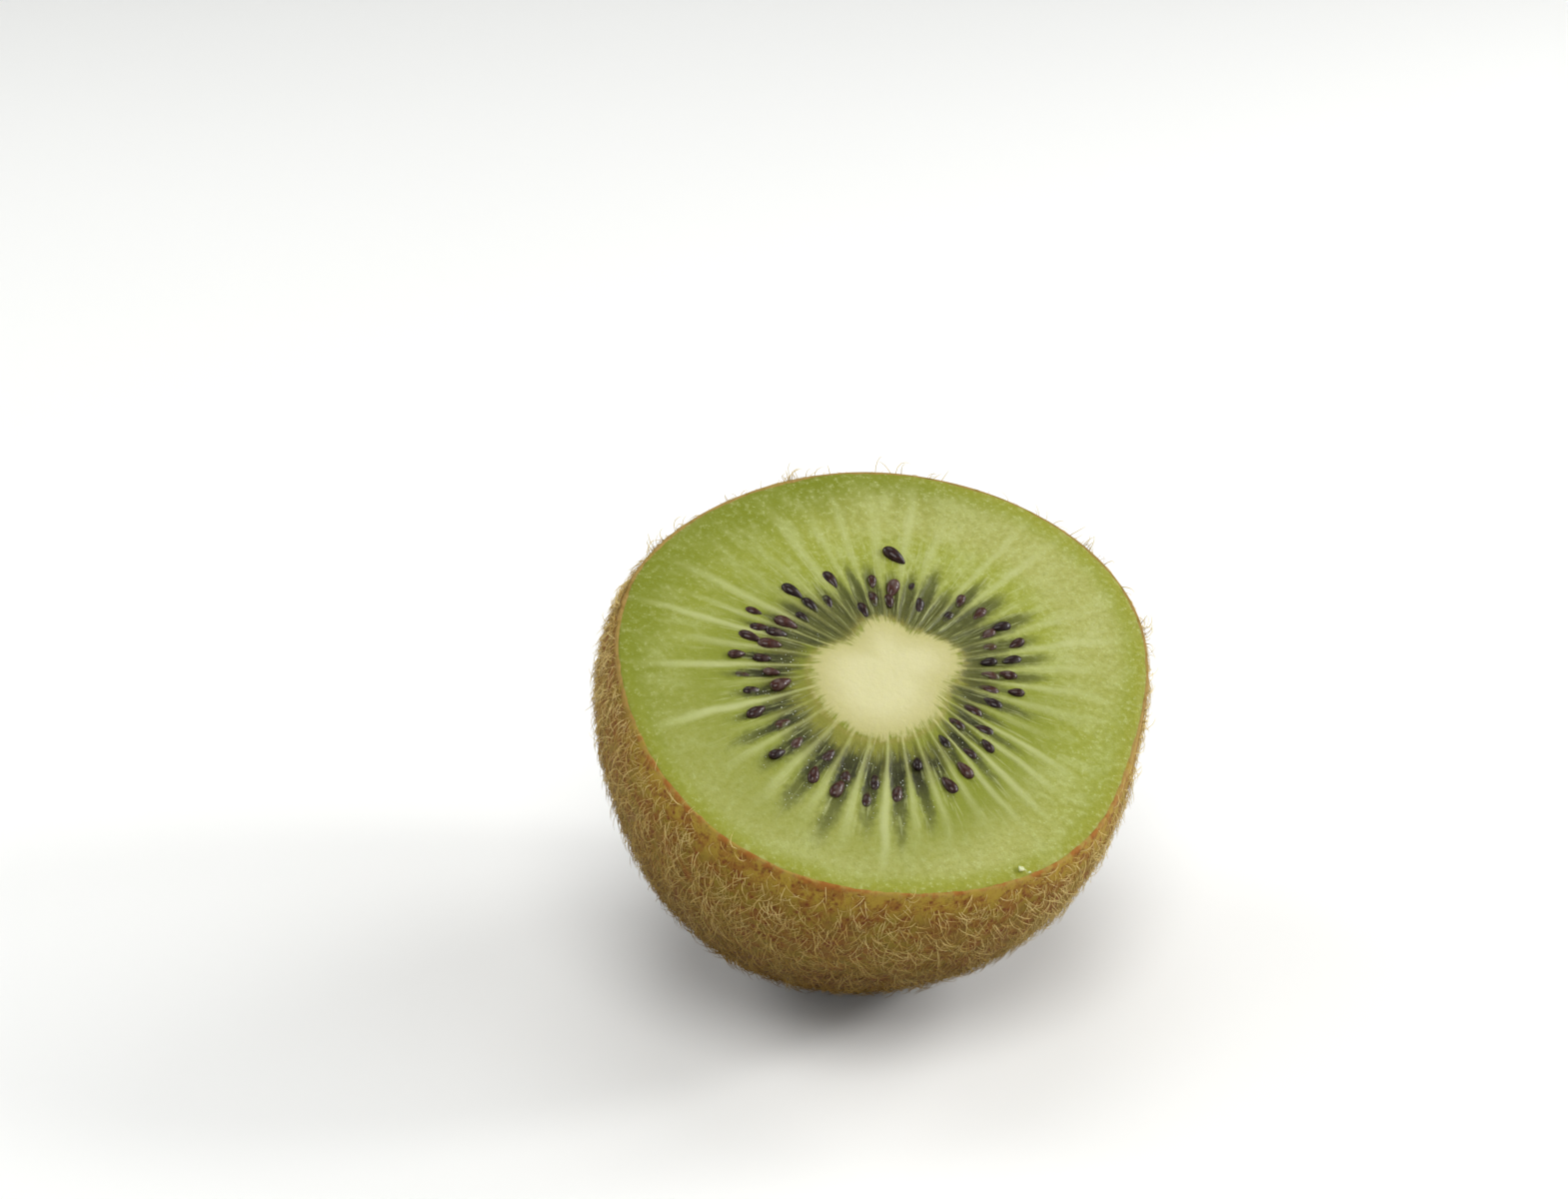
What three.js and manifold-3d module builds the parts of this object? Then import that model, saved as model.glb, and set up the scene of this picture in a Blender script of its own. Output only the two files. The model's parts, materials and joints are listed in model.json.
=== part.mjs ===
// A kiwi fruit cut in half, lying on its hairy skin with the cut leaning toward -Y.
// Millimetres, +Z up. The origin is the middle of the small flat spot that it rests on.
// Each shape is built in the frame of the cut, which is its plane z = 0 with the body below,
// and is then leaned and set down.

import * as THREE from 'three';
import { mergeVertices } from 'three/addons/utils/BufferGeometryUtils.js';
import Module from 'manifold-3d';

const wasm = await Module();
wasm.setup();

// Body: driving dimensions.
const cutRadius = 26;
const bodyDepth = 33.4;
const widestShare = 0.149;
const sideFullness = 1.63;
const endFullness = 1.95;
const skinWall = 0.8;
const skinGap = 0.3;

// Stance.
const leanDegrees = 23.5;
const restDepth = 0.5;

// Out-of-round waves: how many round the turn, their share of the mean, the turn of one peak.
const sectionWaves = [[2, 0.065, 30], [3, 0.0225, 16], [4, 0.0095, 18], [5, 0.009, 70]];
const coreRadius = 6.8;
const coreWaves = [[1, 0.21, 230], [2, 0.16, 26], [3, 0.033, 104], [4, 0.06, 77], [5, 0.048, 1]];
const chamberReach = 14.8;
const chamberWaves = [[1, 0.197, 213], [2, 0.193, 34], [3, 0.057, 116]];
const seedRingRadius = 11.6;
const seedRingWaves = [[1, 0.16, 206], [2, 0.12, 22], [3, 0.07, 1]];

// Relief of the cut face. The rays stand unevenly: each wave of their wander is how many round
// the turn, its size in radians and the turn of one peak.
const rayCount = 38;
const rayWander = [[3, 0.03, 65], [7, 0.016, 200], [13, 0.008, 310]];
const coreRise = 0.3;
const rayRise = 0.12;
const chamberDepth = 0.35;
// Where the other edges lie, as shares of the way from the core's edge to the skin.
const coreBevel = [-0.06, 0.05];
const chamberStart = [0, 0.09];
const chamberFade = 0.25;
const rayStart = [0.02, 0.1];
const rayEnd = [0.6, 0.85];

// Seeds.
const seedLength = 2.2;
const seedWidth = 1.36;
const seedFlatness = 0.75;
const seedSides = 6;
const seedLift = 0.08;
const seedScales = [0.74, 1.08];
const seedTwist = 0.32;
const seedSpacing = 1.5;
const seedDraw = 7;
const pairedShare = 0.62;
const rowOffset = 1.35;
const rowJitter = 1.9;
const turnJitter = 0.16;
const strays = [{ turn: 1.03, reach: 14.6, twist: 0.95, scale: 1.2 }];

// Stalk end.
const scarRadius = 2.2;
const scarHeight = 0.3;
const sepalCount = 5;
const sepalLengths = [2.9, 5];
const sepalWidth = 1.7;
const sepalThickness = 0.8;
const sepalSunkShare = 0.35;
const sepalTipLift = 0.25;
const sepalSpacing = 42;
const sepalScatter = 6;

// Mesh fineness.
const faceSegments = rayCount * 4;
const sideSegments = faceSegments / 2;
const outerRings = 14;
const innerRings = 10;
const cutCrowding = 1.3;
const probe = 0.01;

const colours = { skin: 0x8e763c, flesh: 0xa0a54b };

const radians = THREE.MathUtils.degToRad;
const fullTurn = 2 * Math.PI;

// A round length with its out-of-round waves at one turn about the axis.
function wavy(mean, waves, turn) {
  return mean * waves.reduce(
    (sum, [count, share, peak]) => sum + share * Math.cos(count * (turn - radians(peak))), 1);
}

// The body's width at a share of its depth, 1 at the cut and 0 at the far end.
function girth(depthShare) {
  const taper = (x) => Math.max(0, 1 - Math.abs(x) ** sideFullness) ** (1 / endFullness);
  const fromWidest = (share) => (share - widestShare) / (1 - widestShare);
  return taper(fromWidest(depthShare)) / taper(fromWidest(0));
}

// Radius and height of the body's outline at one turn. Equal steps from 0 at the cut to 1 at the
// far end lie closer together toward both, where the outline bends most.
function outline(turn, step) {
  const depthShare = 1 - (1 - step) ** 2 * (1 + cutCrowding * step);
  const radius = wavy(cutRadius, sectionWaves, turn) * girth(depthShare);
  return new THREE.Vector2(radius, -bodyDepth * depthShare);
}

// A point that lies inset below the body's surface, square to its outline.
function bodyPoint(turn, step, inset) {
  const here = outline(turn, step);
  const ahead = outline(turn, Math.min(1, step + probe));
  const behind = outline(turn, Math.max(0, step - probe));
  const along = ahead.sub(behind).normalize();
  const radius = step === 1 ? 0 : Math.max(0, here.x + inset * along.y);
  return aroundAxis(turn, radius, Math.min(0, here.y - inset * along.x));
}

function aroundAxis(turn, radius, height) {
  return new THREE.Vector3(radius * Math.cos(turn), radius * Math.sin(turn), height);
}

// One ring of points at evenly spaced turns.
function ring(count, pointAt) {
  return Array.from({ length: count }, (_, k) => pointAt((k * fullTurn) / count));
}

// The rings of the body's surface from the cut down to its far end, which is one point.
function bodyRings(inset, ringCount, firstRing, turnOf = (even) => even) {
  const rings = [];
  for (let k = firstRing; k < ringCount; k += 1) {
    rings.push(ring(sideSegments, (even) => bodyPoint(turnOf(even), k / ringCount, inset)));
  }
  rings.push([bodyPoint(0, 1, inset)]);
  return rings;
}

// Triangles between two rings. The lower ring may have the same count, half of it or one point,
// and the upper one may be one point.
function stitch(upper, lower, upperStart, lowerStart) {
  const a = (k) => upperStart + (k % upper.length);
  const b = (k) => lowerStart + (k % lower.length);
  const faces = [];
  if (upper.length === 2 * lower.length) {
    for (let k = 0; k < lower.length; k += 1) {
      faces.push(a(2 * k), b(k), a(2 * k + 1));
      faces.push(a(2 * k + 1), b(k), b(k + 1));
      faces.push(a(2 * k + 1), b(k + 1), a(2 * k + 2));
    }
    return faces;
  }
  for (let k = 0; k < Math.max(upper.length, lower.length); k += 1) {
    if (lower.length > 1) faces.push(a(k), b(k), b(k + 1));
    if (upper.length > 1) faces.push(a(k), b(k + 1), a(k + 1));
  }
  return faces;
}

// A closed geometry from rings that run from one end point to the other.
function ringGeometry(rings) {
  const starts = [];
  let total = 0;
  for (const points of rings) {
    starts.push(total);
    total += points.length;
  }
  const faces = rings.slice(1).flatMap(
    (lower, k) => stitch(rings[k], lower, starts[k], starts[k + 1]));
  const geometry = new THREE.BufferGeometry().setFromPoints(rings.flat());
  geometry.setIndex(faces);
  return geometry;
}

// A closed geometry as a solid that can be joined and cut.
function toSolid(geometry) {
  const bare = new THREE.BufferGeometry();
  bare.setAttribute('position', geometry.getAttribute('position').clone());
  bare.setIndex(geometry.getIndex());
  const merged = mergeVertices(bare, 1e-4);
  return new wasm.Manifold(new wasm.Mesh({
    numProp: 3,
    vertProperties: new Float32Array(merged.getAttribute('position').array),
    triVerts: new Uint32Array(merged.getIndex().array),
  }));
}

function toGeometry(solid) {
  const mesh = solid.getMesh();
  const geometry = new THREE.BufferGeometry();
  geometry.setAttribute('position', new THREE.BufferAttribute(mesh.vertProperties, 3));
  geometry.setIndex(new THREE.BufferAttribute(mesh.triVerts, 1));
  geometry.computeVertexNormals();
  return geometry;
}

// Repeatable random numbers from 0 to 1.
function seededDraw(start) {
  let state = start;
  return () => {
    state = (state + 0x6d2b79f5) | 0;
    let mixed = Math.imul(state ^ (state >>> 15), 1 | state);
    mixed = (mixed + Math.imul(mixed ^ (mixed >>> 7), 61 | mixed)) ^ mixed;
    return ((mixed ^ (mixed >>> 14)) >>> 0) / 4294967296;
  };
}

// The turn at which rays that were evenly spaced would stand, for a turn on the uneven face.
function evenTurn(turn) {
  return rayWander.reduce(
    (sum, [count, size, peak]) => sum + size * Math.cos(count * (turn - radians(peak))), turn);
}

// The turn on the uneven face that belongs to an even one, closed in on step by step.
function unevenTurn(even) {
  let turn = even;
  for (let k = 0; k < 12; k += 1) turn += even - evenTurn(turn);
  return turn;
}

// Height of the cut face: a low cream core, then sunken seed chambers parted by thin raised rays.
function faceHeight(turn, radius) {
  const core = wavy(coreRadius, coreWaves, turn);
  const rim = wavy(cutRadius, sectionWaves, turn);
  const shareAt = (reach) => (reach - core) / (rim - core);
  const share = shareAt(radius);
  const end = shareAt(wavy(chamberReach, chamberWaves, turn));
  const rays = Math.cos(rayCount * evenTurn(turn));
  const past = (from, to) => THREE.MathUtils.smoothstep(share, from, to);
  const onCore = 1 - past(...coreBevel);
  const inChamber = past(...chamberStart) * (1 - past(end - chamberFade, end));
  const onRay = past(...rayStart) * (1 - past(...rayEnd));
  return coreRise * onCore + rayRise * onRay * Math.max(0, rays)
    - chamberDepth * inChamber * (0.5 - 0.5 * rays);
}

// The rings of the cut face, from the middle of the core out to the skin.
function faceRings(inset) {
  const coreShares = [0.5, 0.93];
  const outerShares = [0.07, 0.18, 0.32, 0.48, 0.66, 0.86];
  const centre = [new THREE.Vector3(0, 0, coreRise)];
  const atRadius = (radiusAt) => ring(faceSegments, (even) => {
    const turn = unevenTurn(even);
    const radius = radiusAt(turn);
    return aroundAxis(turn, radius, faceHeight(turn, radius));
  });
  const coreEdge = (turn) => wavy(coreRadius, coreWaves, turn);
  const rimEdge = (turn) => bodyPoint(turn, 0, inset).setZ(0).length();
  const outward = (share) => (turn) => coreEdge(turn) + share * (rimEdge(turn) - coreEdge(turn));
  return [
    centre,
    ...coreShares.map((share) => atRadius((turn) => share * coreEdge(turn))),
    ...outerShares.map((share) => atRadius(outward(share))),
    ring(faceSegments, (even) => bodyPoint(unevenTurn(even), 0, inset)),
  ];
}

// A drop-shaped seed along z, with its narrow end down.
function seedGeometry(scale) {
  const shares = [0, 0.14, 0.42, 0.76, 1];
  const widths = [0, 0.74, 1, 0.62, 0];
  const rings = shares.map((share, k) => {
    const z = (0.5 - share) * seedLength * scale;
    const width = (widths[k] * seedWidth * scale) / 2;
    if (width === 0) return [new THREE.Vector3(0, 0, z)];
    return ring(seedSides, (turn) => new THREE.Vector3(
      width * Math.cos(turn), width * seedFlatness * Math.sin(turn), z));
  });
  return ringGeometry(rings);
}

// One seed lying half sunk in the cut face, its narrow end toward the core.
function seedSolid({ turn, reach, twist, scale }) {
  const outward = new THREE.Vector3(Math.cos(turn + twist), Math.sin(turn + twist), 0);
  const faceUp = new THREE.Vector3(0, 0, 1);
  const across = new THREE.Vector3().crossVectors(faceUp, outward);
  const place = new THREE.Matrix4().makeBasis(across, faceUp, outward);
  place.setPosition(aroundAxis(turn, reach, faceHeight(turn, reach) + seedLift));
  return standing(seedGeometry(scale).applyMatrix4(place));
}

// Where the seeds lie: one or two in each chamber, by turns nearer to and farther from the core.
// A seed that would crowd an earlier one is left out.
function seedSpots() {
  const draw = seededDraw(seedDraw);
  const spread = (most) => (draw() - 0.5) * 2 * most;
  const spots = [];
  const isFree = (spot) => spots.every((other) => aroundAxis(spot.turn, spot.reach, 0)
    .distanceTo(aroundAxis(other.turn, other.reach, 0)) > seedSpacing);
  for (let k = 0; k < rayCount; k += 1) {
    const side = k % 2 === 0 ? -1 : 1;
    for (const row of draw() < pairedShare ? [side, -side] : [side]) {
      const offMiddle = spread(turnJitter);
      const turn = unevenTurn(((k + 0.5 + offMiddle) * fullTurn) / rayCount);
      const middle = wavy(seedRingRadius, seedRingWaves, turn);
      const reach = middle + row * rowOffset + spread(rowJitter / 2);
      const twist = spread(seedTwist);
      const scale = THREE.MathUtils.lerp(...seedScales, draw());
      const spot = { turn, reach, twist, scale };
      if (isFree(spot)) spots.push(spot);
    }
  }
  return [...spots, ...strays];
}

function fleshSolid() {
  const inset = skinWall + skinGap;
  const side = bodyRings(inset, innerRings, 1, unevenTurn);
  const body = standing(ringGeometry([...faceRings(inset), ...side]));
  return seedSpots().reduce((flesh, spot) => flesh.add(seedSolid(spot)), body);
}

// The skin as a cup: inner end point, inner rings up to the rim, then outer rings down.
function skinCup() {
  const inner = bodyRings(skinWall, innerRings, 0).reverse();
  const outer = bodyRings(0, outerRings, 0);
  return standing(ringGeometry([...inner, ...outer]));
}

// The round corky scar of the stalk, a low button at the far end.
function scarSolid() {
  const sides = 14;
  const profile = [[0, 0.75], [0.55, 0.8], [0.85, 1], [1.1, 0.35], [1.1, -0.6], [0, -0.6]];
  const rings = profile.map(([width, height]) => {
    const z = bodyPoint(0, 1, 0).z - height * scarHeight;
    if (width === 0) return [new THREE.Vector3(0, 0, z)];
    return ring(sides, (turn) => aroundAxis(turn, width * scarRadius, z));
  });
  return standing(ringGeometry(rings.reverse()));
}

// One dried sepal lying along the skin away from the scar.
function sepalSolid(turn, length) {
  const steps = 4;
  const rings = [];
  for (let k = 0; k <= steps; k += 1) {
    const share = k / steps;
    const reach = scarRadius * 0.7 + length * share;
    const half = (sepalWidth / 2) * (1 - 0.75 * share ** 2);
    rings.push(sepalSection(turn, reach, half, sepalTipLift * share ** 2));
  }
  const middle = (points) => points.reduce(
    (sum, point) => sum.add(point), new THREE.Vector3()).divideScalar(points.length);
  return standing(ringGeometry([[middle(rings[0])], ...rings, [middle(rings[steps])]]));
}

// A four-cornered section of a sepal, sunk into the skin with its outer side lifted toward the tip.
function sepalSection(turn, reach, half, lift) {
  const corners = [[1, 1], [-1, 1], [-1, -1], [1, -1]];
  return corners.map(([side, outer]) => {
    const sway = turn + (side * half) / reach;
    const sunk = sepalSunkShare * sepalThickness;
    const inset = outer > 0 ? sunk - sepalThickness - lift : sunk;
    return bodyPoint(sway, stepAtReach(sway, reach), inset);
  });
}

// The outline step at which the far end of the body is as wide as reach.
function stepAtReach(turn, reach) {
  let low = 0.5;
  let high = 1;
  for (let k = 0; k < 24; k += 1) {
    const middle = (low + high) / 2;
    if (outline(turn, middle).x > reach) low = middle;
    else high = middle;
  }
  return low;
}

// Sepals on the side of the scar that is turned up, away from the flat spot.
function sepalSolids() {
  const draw = seededDraw(sepalCount);
  return Array.from({ length: sepalCount }, (_, k) => {
    const fromMiddle = (k - (sepalCount - 1) / 2) * sepalSpacing;
    const scatter = (draw() - 0.5) * 2 * sepalScatter;
    return sepalSolid(radians(90 + fromMiddle + scatter), THREE.MathUtils.lerp(...sepalLengths, draw()));
  });
}

// Leans the cut frame and sets its lowest point just under the ground plane.
function standingPlace() {
  const lean = new THREE.Matrix4().makeRotationX(radians(leanDegrees));
  let lowest = new THREE.Vector3(0, 0, Infinity);
  for (let step = 0.5; step < 1; step += 0.002) {
    for (let degrees = 180; degrees < 360; degrees += 1) {
      const point = bodyPoint(radians(degrees), step, 0).applyMatrix4(lean);
      if (point.z < lowest.z) lowest = point;
    }
  }
  const drop = new THREE.Matrix4().makeTranslation(-lowest.x, -lowest.y, -lowest.z - restDepth);
  return drop.multiply(lean);
}

const stance = standingPlace();

// A shape of the cut's frame as a solid that is leaned and set down.
function standing(geometry) {
  return toSolid(geometry.applyMatrix4(stance));
}

// Everything below the ground plane, cut off to leave the flat spot.
function groundBlock() {
  const size = 4 * cutRadius;
  return toSolid(new THREE.BoxGeometry(size, size, size).translate(0, 0, -size / 2));
}

function namedMesh(name, geometry, roughness) {
  const material = new THREE.MeshStandardMaterial({ color: colours[name], roughness, metalness: 0 });
  const mesh = new THREE.Mesh(geometry, material);
  mesh.name = name;
  return mesh;
}

function skinMesh() {
  const fixed = [scarSolid(), ...sepalSolids()];
  const whole = fixed.reduce((skin, piece) => skin.add(piece), skinCup());
  return namedMesh('skin', toGeometry(whole.subtract(groundBlock())), 0.9);
}

function fleshMesh() {
  return namedMesh('flesh', toGeometry(fleshSolid()), 0.35);
}

const kiwiHalf = new THREE.Group();
kiwiHalf.add(skinMesh(), fleshMesh());

export default kiwiHalf;
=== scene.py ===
# A kiwi fruit cut in half, lying on its hairy skin with the cut leaning toward the front.
# Lengths in the dictionaries are millimetres; the meshes are made in metres.
import json
import math
import random

import bpy
import numpy as np
from mathutils import Matrix, Vector, noise

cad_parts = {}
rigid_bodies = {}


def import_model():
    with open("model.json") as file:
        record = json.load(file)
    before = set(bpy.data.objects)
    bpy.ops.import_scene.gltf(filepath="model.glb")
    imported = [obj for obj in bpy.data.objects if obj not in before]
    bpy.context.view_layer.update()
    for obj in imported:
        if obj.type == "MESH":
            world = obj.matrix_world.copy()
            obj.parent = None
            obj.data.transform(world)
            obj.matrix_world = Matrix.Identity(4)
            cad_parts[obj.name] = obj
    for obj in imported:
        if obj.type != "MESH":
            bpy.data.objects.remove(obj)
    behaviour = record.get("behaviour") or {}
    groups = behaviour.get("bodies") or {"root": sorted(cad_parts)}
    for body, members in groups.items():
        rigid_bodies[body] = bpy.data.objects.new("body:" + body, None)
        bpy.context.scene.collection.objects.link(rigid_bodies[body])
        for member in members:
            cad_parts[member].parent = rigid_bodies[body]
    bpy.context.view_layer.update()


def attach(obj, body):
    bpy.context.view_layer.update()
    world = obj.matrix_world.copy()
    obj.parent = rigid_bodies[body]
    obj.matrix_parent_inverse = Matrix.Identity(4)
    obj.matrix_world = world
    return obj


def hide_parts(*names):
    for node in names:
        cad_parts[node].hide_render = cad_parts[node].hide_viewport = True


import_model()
mm = 0.001
fullTurn = 2 * math.pi

# The body's form, the same as the solids'. An outline is its mean radius and its waves; a wave is its count,
# its share of the mean and its peak in degrees.
fruit = {
    "cut": (26.0, [(2, 0.065, 30), (3, 0.0225, 16), (4, 0.0095, 18), (5, 0.009, 70)]),
    "core": (6.8, [(1, 0.21, 230), (2, 0.16, 26), (3, 0.033, 104), (4, 0.06, 77), (5, 0.048, 1)]),
    "chamberEnds": (14.8, [(1, 0.197, 213), (2, 0.193, 34), (3, 0.057, 116)]),
    "seedRing": (11.6, [(1, 0.16, 206), (2, 0.12, 22), (3, 0.07, 1)]),
    "bodyDepth": 33.4,
    "widestShare": 0.149,
    "sideFullness": 1.63,
    "endFullness": 1.95,
    "crowding": 1.3,
    "leanDegrees": 23.5,
    "restDepth": 0.5,
    "rays": 38,
    "rayWander": [(3, 0.030, 65), (7, 0.016, 200), (13, 0.008, 310)],
}


def srgb(red, green, blue):
    # a colour read as 0 to 255, as the linear colour that sockets take
    return tuple(((c / 255 + 0.055) / 1.055) ** 2.4 if c > 10 else c / 3295 for c in (red, green, blue)) + (1.0,)


def wavy(form, turn):
    # how far out an outline runs at a turn
    mean, waves = form
    return mean * (1 + sum(share * np.cos(count * (turn - math.radians(peak))) for count, share, peak in waves))


def wander(turn):
    # how far a ray strays from its even place
    return sum(size * np.cos(count * (turn - math.radians(peak))) for count, size, peak in fruit["rayWander"])


def smooth(low, high, value):
    x = np.clip((value - low) / (high - low), 0, 1)
    return x * x * (3 - 2 * x)


def taper(x):
    # the girth's fall toward either end, from 1 in the middle to 0
    return np.maximum(0, 1 - np.abs(x) ** fruit["sideFullness"]) ** (1 / fruit["endFullness"])


def outline(turn, step):
    # radius and height of the body at a turn; step runs from 0 at the cut to 1 at the far end
    depthShare = 1 - (1 - step) ** 2 * (1 + fruit["crowding"] * step)
    widest = fruit["widestShare"]
    girth = taper((depthShare - widest) / (1 - widest)) / taper(-widest / (1 - widest))
    return wavy(fruit["cut"], turn) * girth, -fruit["bodyDepth"] * depthShare


def bodyPoints(turn, step, inset):
    # points below the surface by inset, square to the outline, in the frame of the cut
    radius, height = outline(turn, step)
    aheadRadius, aheadHeight = outline(turn, np.minimum(1, step + 0.004))
    behindRadius, behindHeight = outline(turn, np.maximum(0, step - 0.004))
    alongRadius, alongHeight = aheadRadius - behindRadius, aheadHeight - behindHeight
    size = np.hypot(alongRadius, alongHeight)
    radius = np.maximum(0, radius + inset * alongHeight / size)
    height = height - inset * alongRadius / size
    return np.stack([radius * np.cos(turn), radius * np.sin(turn), height], -1)


lean = math.radians(fruit["leanDegrees"])
leanMatrix = np.array([[1, 0, 0], [0, math.cos(lean), -math.sin(lean)], [0, math.sin(lean), math.cos(lean)]])


def findCutCentre():
    # where the middle of the cut comes to be when the lowest point is set just under the ground
    turns, steps = np.meshgrid(np.radians(np.arange(180, 360)), np.arange(0.5, 1, 0.002))
    points = bodyPoints(turns, steps, 0).reshape(-1, 3) @ leanMatrix.T
    lowest = points[np.argmin(points[:, 2])]
    return -lowest - np.array([0, 0, fruit["restDepth"]])


cutCentre = findCutCentre()


def setDown(points):
    # from the frame of the cut, in millimetres, to the model's frame, in metres
    return (points @ leanMatrix.T + cutCentre) * mm


def newPiece(name, mesh):
    piece = bpy.data.objects.new(name, mesh)
    bpy.context.scene.collection.objects.link(piece)
    return piece


def meshFrom(name, points, faces):
    mesh = bpy.data.meshes.new(name)
    mesh.from_pydata(points.tolist(), [], faces)
    mesh.polygons.foreach_set("use_smooth", [True] * len(mesh.polygons))
    mesh.update()
    return newPiece(name, mesh)


def carry(piece, name, kind, values):
    # gives each point of a piece a value under a name
    key = "vector" if kind == "FLOAT_VECTOR" else "value"
    piece.data.attributes.new(name, kind, "POINT").data.foreach_set(key, np.ravel(values))


def allTurns(count):
    return np.linspace(0, fullTurn, count, endpoint=False)


def ringFaces(rings, segments, start):
    # quads between rings that run outward and then down, seen from outside
    k, j = np.meshgrid(np.arange(rings - 1), np.arange(segments), indexing="ij")
    a = start + k * segments + j
    b = start + k * segments + (j + 1) % segments
    return np.stack([a, a + segments, b + segments, b], -1).reshape(-1, 4).tolist()


def closedRings(name, first, rings, last):
    # a closed piece from a first point, a grid of rings and a last point
    count, segments = rings.shape[:2]
    points = np.concatenate([first[None], rings.reshape(-1, 3), last[None]])
    faces = ringFaces(count, segments, 1)
    lastRing = 1 + (count - 1) * segments
    for j in range(segments):
        follow = (j + 1) % segments
        faces.append([0, 1 + j, 1 + follow])
        faces.append([len(points) - 1, lastRing + follow, lastRing + j])
    return meshFrom(name, setDown(points), faces)


def lumps(points, size, seed):
    # slow bumps of about that size, from -1 to 1
    shift = Vector((seed * 7.3, seed * 3.1, seed * 5.7))
    values = np.array([noise.noise(Vector(point) + shift) for point in (points.reshape(-1, 3) / size).tolist()])
    return values.reshape(points.shape[:-1])


def mathNode(operation, turned=False):
    # a method of Wire that joins the wire and what it meets in a Math node
    def method(wire, *others):
        values = (wire, *others)
        return wire.maths(operation, *(values[::-1] if turned else values))
    return method


class Wire:
    # a socket in node maths: an expression on wires adds Math nodes
    def __init__(self, graph, socket):
        self.graph = graph
        self.socket = socket

    def maths(self, operation, *values):
        return self.graph.add("ShaderNodeMath", {"operation": operation}, dict(enumerate(values)))

    def past(self, low, high):
        # 0 below low, 1 above high, smooth between
        return self.graph.add("ShaderNodeMapRange", {"interpolation_type": "SMOOTHSTEP"},
                              {"Value": self, "From Min": low, "From Max": high}, "Result")

    __add__ = __radd__ = mathNode("ADD")
    __sub__ = mathNode("SUBTRACT")
    __rsub__ = mathNode("SUBTRACT", turned=True)
    __mul__ = __rmul__ = mathNode("MULTIPLY")
    __truediv__ = mathNode("DIVIDE")
    __pow__ = mathNode("POWER")
    __mod__ = mathNode("FLOORED_MODULO")
    __abs__ = mathNode("ABSOLUTE")
    floor = mathNode("FLOOR")
    cosine = mathNode("COSINE")
    atLeast = mathNode("MAXIMUM")


class Graph:
    # one node tree, of a material or of geometry
    def __init__(self, tree):
        self.tree = tree

    def find(self, sockets, key):
        if isinstance(key, int):
            return sockets[key]
        return next(s for s in sockets if key in (s.identifier, s.name) and s.enabled)

    def feed(self, socket, value):
        if isinstance(value, Wire):
            self.tree.links.new(value.socket, socket)
        else:
            socket.default_value = value

    def add(self, kind, settings=None, values=None, output=0):
        node = self.tree.nodes.new(kind)
        for key, value in (settings or {}).items():
            if key == "stops":
                self.setStops(node.color_ramp, value)
            else:
                setattr(node, key, value)
        for key, value in (values or {}).items():
            self.feed(self.find(node.inputs, key), value)
        return Wire(self, self.find(node.outputs, output)) if len(node.outputs) else node

    def setStops(self, ramp, stops):
        for k, (place, colour) in enumerate(stops):
            stop = ramp.elements[k] if k < 2 else ramp.elements.new(place)
            stop.position = place
            stop.color = colour

    def other(self, wire, output):
        # another output of the node that a wire comes from
        return Wire(self, self.find(wire.socket.node.outputs, output))

    def parts(self, vector):
        # the X, Y and Z of a vector
        x = self.add("ShaderNodeSeparateXYZ", {}, {"Vector": vector}, "X")
        return x, self.other(x, "Y"), self.other(x, "Z")

    def named(self, name, kind="FLOAT"):
        # a value that the mesh carries under a name
        return self.add("GeometryNodeInputNamedAttribute", {"data_type": kind}, {"Name": name}, "Attribute")

    def chance(self, kind, low, high, seed):
        return self.add("FunctionNodeRandomValue", {"data_type": kind},
                        {"Min": low, "Max": high, "Seed": seed}, "Value")

    def toned(self, geometry, seed):
        # gives each repeat a tone of its own, from 0 to 1
        return self.add("GeometryNodeStoreNamedAttribute", {"data_type": "FLOAT", "domain": "INSTANCE"}, {
            "Geometry": geometry, "Name": "tone", "Value": self.chance("FLOAT", 0.0, 1.0, seed)})


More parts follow.
